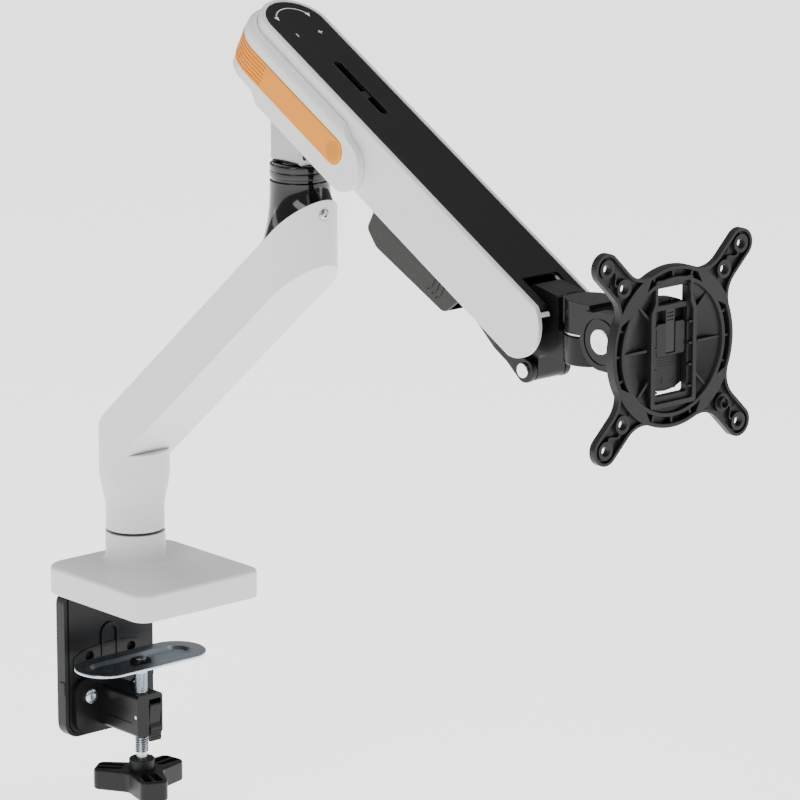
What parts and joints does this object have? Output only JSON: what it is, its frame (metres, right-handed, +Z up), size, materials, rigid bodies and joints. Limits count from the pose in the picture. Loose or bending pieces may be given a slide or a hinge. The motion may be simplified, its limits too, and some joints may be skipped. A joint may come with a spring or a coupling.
{
  "type": "monitor arm",
  "caption": "Spring-balanced monitor arm: desk clamp with knob, column, swivelling lower arm, levelling upper arm, pan and tilt head and a square-pattern monitor plate.",
  "frame": {"origin": "on the desk top under the base, on the axis of the column", "axes": "+Z up along the column, +X forward along the arm to the monitor, +Y to the arm's left seen from behind"},
  "size_m": [0.5121, 0.117, 0.5178],
  "materials": {
    "white_paint": "satin",
    "white_plastic": "gloss",
    "black_paint": "satin",
    "black_gloss": "gloss",
    "black_cover": "satin, fine grain",
    "black_nylon": "glass-filled nylon, fine grain",
    "grey_plastic": "matte",
    "orange_plastic": "satin",
    "brushed_steel": "brushed",
    "zinc": "bright zinc plate",
    "spun_aluminium": "spun",
    "bush_plastic": "natural",
    "pad_foam": "matte"
  },
  "bodies": {
    "base": {"desk_pad": "pad_foam", "base_plate": "black_paint", "spindle_bolt": "zinc", "base_spindle": "brushed_steel", "spindle_screw": "zinc", "base_cover": "white_plastic", "seam_ring": "black_nylon", "rear_bracket": "black_paint", "rear_cover": "black_nylon", "tab_screw_near": "zinc", "tab_screw_far": "zinc", "clamp_arm": "black_paint", "clamp_bolt_near": "zinc", "clamp_bolt_far": "zinc", "lever_pin": "zinc"},
    "release": {"release_lever": "black_nylon"},
    "foot": {"pressure_plate": "zinc"},
    "screw": {"clamp_screw": "zinc", "clamp_knob": "black_nylon", "plate_retainer": "black_nylon", "retainer_screw": "zinc"},
    "lower_arm": {"lower_arm": "white_paint", "cable_cover": "white_plastic", "base_bush": "bush_plastic", "elbow_bush": "bush_plastic", "elbow_cover": "black_gloss", "elbow_cover_screw": "zinc"},
    "yoke": {"elbow_collar": "black_gloss", "elbow_spindle": "brushed_steel", "yoke": "brushed_steel", "yoke_bolt": "zinc", "pivot_pin": "zinc", "spring_anchor_pin": "zinc", "link_rear_pin": "zinc", "pivot_spacer_near": "bush_plastic", "pivot_spacer_far": "bush_plastic"},
    "upper_arm": {"beam_frame": "black_paint", "arm_shell": "white_plastic", "top_cover": "black_cover", "rear_housing": "white_plastic", "orange_band": "orange_plastic", "gas_spring": "black_gloss", "head_pivot_pin": "zinc"},
    "link": {"lower_link": "black_paint", "cable_clip": "grey_plastic"},
    "crosshead": {"spring_crosshead": "zinc"},
    "tension_screw": {"tension_rod": "zinc"},
    "tension_pointer": {"tension_nut": "black_nylon"},
    "head": {"head_bracket": "black_paint", "link_front_pin": "zinc", "pan_washer": "zinc"},
    "swivel": {"swivel_block": "black_paint", "pan_pin": "zinc"},
    "fork": {"tilt_fork": "black_paint", "tilt_bolt": "zinc", "tilt_cap_near": "spun_aluminium", "tilt_cap_far": "spun_aluminium"},
    "carrier": {"plate_carrier": "black_nylon"},
    "latch": {"plate_latch": "grey_plastic"},
    "plate": {"monitor_plate": "black_nylon"}
  },
  "joints": [
    {"name": "base_swivel", "type": "hinge", "parent": "base", "child": "lower_arm", "pos_m": [0, 0, 0.04], "axis": [0, 0, 1], "range_deg": [-90, 90]},
    {"name": "elbow_swivel", "type": "hinge", "parent": "lower_arm", "child": "yoke", "pos_m": [0.1607, 0, 0.286], "axis": [0, 0, 1], "range_deg": [-90, 90]},
    {"name": "lift", "type": "hinge", "parent": "yoke", "child": "upper_arm", "pos_m": [0.1607, 0, 0.3567], "axis": [0, 1, 0], "range_deg": [-60, 10]},
    {"name": "link_pivot", "type": "hinge", "parent": "yoke", "child": "link", "pos_m": [0.1607, 0, 0.3279], "axis": [0, 1, 0], "range_deg": [-60.5, 10.5]},
    {"name": "head_level", "type": "hinge", "parent": "upper_arm", "child": "head", "pos_m": [0.37134, 0, 0.24042], "axis": [0, 1, 0], "range_deg": [-10.5, 60.5]},
    {"name": "spring_drive", "type": "slide", "parent": "upper_arm", "child": "crosshead", "axis": [0.8755, 0, -0.4833], "range_m": [-0.011, 0.0019]},
    {"name": "tension_turn", "type": "hinge", "parent": "crosshead", "child": "tension_screw", "pos_m": [0.15659, 0, 0.34926], "axis": [0.8755, 0, -0.4833], "range_deg": [-1085, 1085]},
    {"name": "pointer_travel", "type": "slide", "parent": "crosshead", "child": "tension_pointer", "axis": [0.8755, 0, -0.4833], "range_m": [-0.012, 0.012]},
    {"name": "pan", "type": "hinge", "parent": "head", "child": "swivel", "pos_m": [0.409, 0, 0.24], "axis": [0, 0, 1], "range_deg": [-65, 65]},
    {"name": "tilt", "type": "hinge", "parent": "swivel", "child": "fork", "pos_m": [0.4412, 0, 0.2417], "axis": [0, 1, 0], "range_deg": [-45, 45]},
    {"name": "rotation", "type": "hinge", "parent": "fork", "child": "carrier", "pos_m": [0.4617, 0, 0.2417], "axis": [1, 0, 0], "range_deg": [-90, 90]},
    {"name": "plate_release", "type": "slide", "parent": "carrier", "child": "plate", "axis": [0, 0, 1], "range_m": [0, 0.0215]},
    {"name": "latch_slide", "type": "slide", "parent": "carrier", "child": "latch", "axis": [0, 0, 1], "range_m": [0, 0.0025], "stiffness_N_per_m": 150, "springref_m": -0.002},
    {"name": "clamp_feed", "type": "slide", "parent": "base", "child": "foot", "axis": [0, 0, 1], "range_m": [-0.016, 0.01]},
    {"name": "clamp_turn", "type": "hinge", "parent": "foot", "child": "screw", "pos_m": [0.0036, 0, -0.11], "axis": [0, 0, 1], "range_deg": [-3846, 2406]},
    {"name": "release_pull", "type": "hinge", "parent": "base", "child": "release", "pos_m": [0.01, 0, -0.0796], "axis": [0, 1, 0], "range_deg": [-8, 0], "stiffness_Nm_per_rad": 0.2, "springref_deg": 5.73}
  ],
  "couplings": [
    {"joint": "link_pivot", "follows": "lift", "ratio": 1},
    {"joint": "head_level", "follows": "lift", "ratio": -1},
    {"joint": "spring_drive", "follows": "lift", "m_per_rad": 0.0104},
    {"joint": "tension_turn", "follows": "pointer_travel", "rad_per_m": -1570.8},
    {"joint": "clamp_turn", "follows": "clamp_feed", "rad_per_m": 4188.8}
  ]
}
